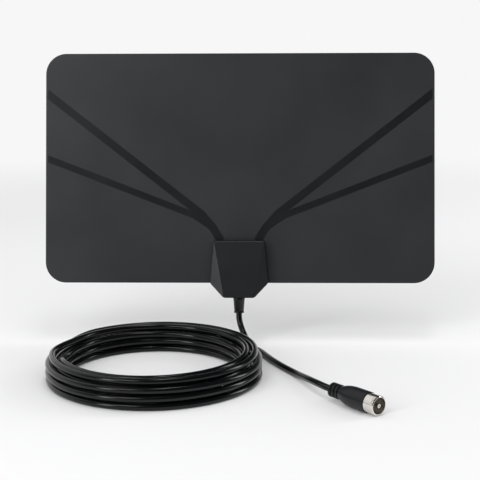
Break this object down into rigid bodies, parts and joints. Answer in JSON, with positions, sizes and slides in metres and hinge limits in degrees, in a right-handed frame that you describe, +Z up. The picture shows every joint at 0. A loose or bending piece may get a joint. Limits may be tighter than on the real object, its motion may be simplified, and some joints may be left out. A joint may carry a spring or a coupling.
{
  "type": "flat tv antenna",
  "caption": "Thin rectangular sheet antenna with a V-shaped foil dipole, a small junction box on its lower edge and a coiled coaxial lead with a push-on connector.",
  "frame": {"origin": "centre of the back face of the sheet", "axes": "+X along the width of the sheet, to the right seen from the front; +Z up; -Y towards the viewer. The sheet leans back 11 degrees from upright."},
  "size_m": [0.264, 0.1885, 0.1928],
  "materials": {
    "front_film": "satin charcoal film",
    "rear_film": "matt charcoal film",
    "foil": "rolled foil",
    "foam_tape": "matt black adhesive foam",
    "housing": "satin black moulding",
    "screw_steel": "zinc plated",
    "board": "green solder mask",
    "spring_bronze": "plain",
    "ferrite": "matt sintered",
    "copper": "enamelled copper",
    "chip_ceramic": "plain",
    "relief": "satin black vinyl",
    "crimp_brass": "plain",
    "jacket": "glossy black vinyl",
    "foam_core": "foamed polyethylene",
    "grip": "matt black vinyl",
    "nickel": "nickel plated",
    "insulator": "dark moulded acetal"
  },
  "bodies": {
    "root": {"front_film": "front_film", "rear_film": "rear_film", "element_left": "foil", "element_right": "foil", "seal_ring": "foam_tape", "housing_front": "housing", "housing_back": "housing", "housing_screws": "screw_steel", "circuit_board": "board", "contact_springs": "spring_bronze", "balun_core": "ferrite", "balun_winding": "copper", "chip_parts": "chip_ceramic", "strain_relief": "relief", "crimp_ring": "crimp_brass", "cable_end": "jacket", "cable_foam": "foam_core", "cable_wire": "copper", "cable_drop": "jacket", "cable_coil": "jacket", "cable_tail": "jacket", "plug_body": "grip", "plug_shell": "nickel", "plug_insulator": "insulator", "plug_pin": "nickel", "plug_crimp": "crimp_brass", "plug_cable_end": "jacket", "plug_foam": "foam_core"}
  },
  "joints": []
}
